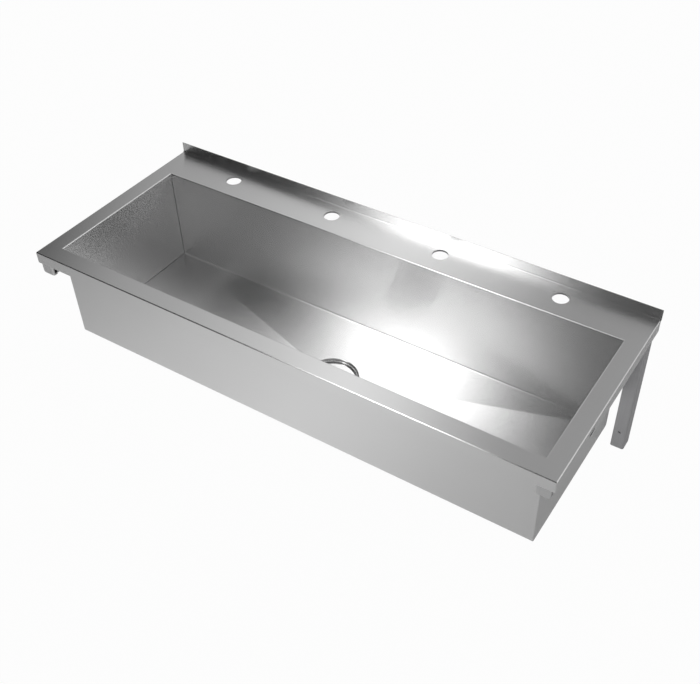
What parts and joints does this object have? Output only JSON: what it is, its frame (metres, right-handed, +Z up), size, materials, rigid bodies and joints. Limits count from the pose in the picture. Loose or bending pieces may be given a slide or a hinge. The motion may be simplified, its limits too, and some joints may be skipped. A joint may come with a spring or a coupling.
{
  "type": "trough sink",
  "caption": "Wall-hung stainless trough sink with a flat rim, a tap landing and upstand, falls to a basket waste, and brackets at the ends.",
  "frame": {"origin": "on the wall plane, at mid-length, level with the rim's top", "axes": "+X along the wall to the right, seen from the front; +Y into the wall; +Z up"},
  "size_m": [1.2, 0.48, 0.369],
  "materials": {
    "trough_sheet": "satin brushed stainless sheet, grain along the length",
    "bracket_steel": "plain mill-finish stainless",
    "fastener": "bright stainless",
    "waste_metal": "polished pressed stainless",
    "rubber": "black rubber",
    "slip_plastic": "pale slip ring",
    "lock_nut": "white moulded nut",
    "pad": "grey damping pad"
  },
  "bodies": {
    "trough": {"front_rim": "trough_sheet", "left_rim": "trough_sheet", "right_rim": "trough_sheet", "tap_landing": "trough_sheet", "upstand": "trough_sheet", "landing_plate": "bracket_steel", "bowl_wrap": "trough_sheet", "left_bowl_end": "trough_sheet", "right_bowl_end": "trough_sheet", "left_bracket_leg": "bracket_steel", "left_bracket_arm": "bracket_steel", "right_bracket_leg": "bracket_steel", "right_bracket_arm": "bracket_steel", "bracket_studs": "fastener", "stud_washers": "fastener", "stud_nuts": "fastener", "waste_body": "waste_metal", "waste_gasket": "rubber", "waste_washer": "rubber", "slip_ring": "slip_plastic", "waste_lock_nut": "lock_nut", "earth_tag": "fastener", "sound_pads": "pad"},
    "basket": {"strainer_basket": "waste_metal", "basket_plug": "rubber", "basket_knob": "waste_metal", "stem_nut": "fastener"}
  },
  "joints": [
    {"name": "basket_lift", "type": "slide", "parent": "trough", "child": "basket", "axis": [0, 0, 1], "range_m": [0, 0.3]}
  ]
}
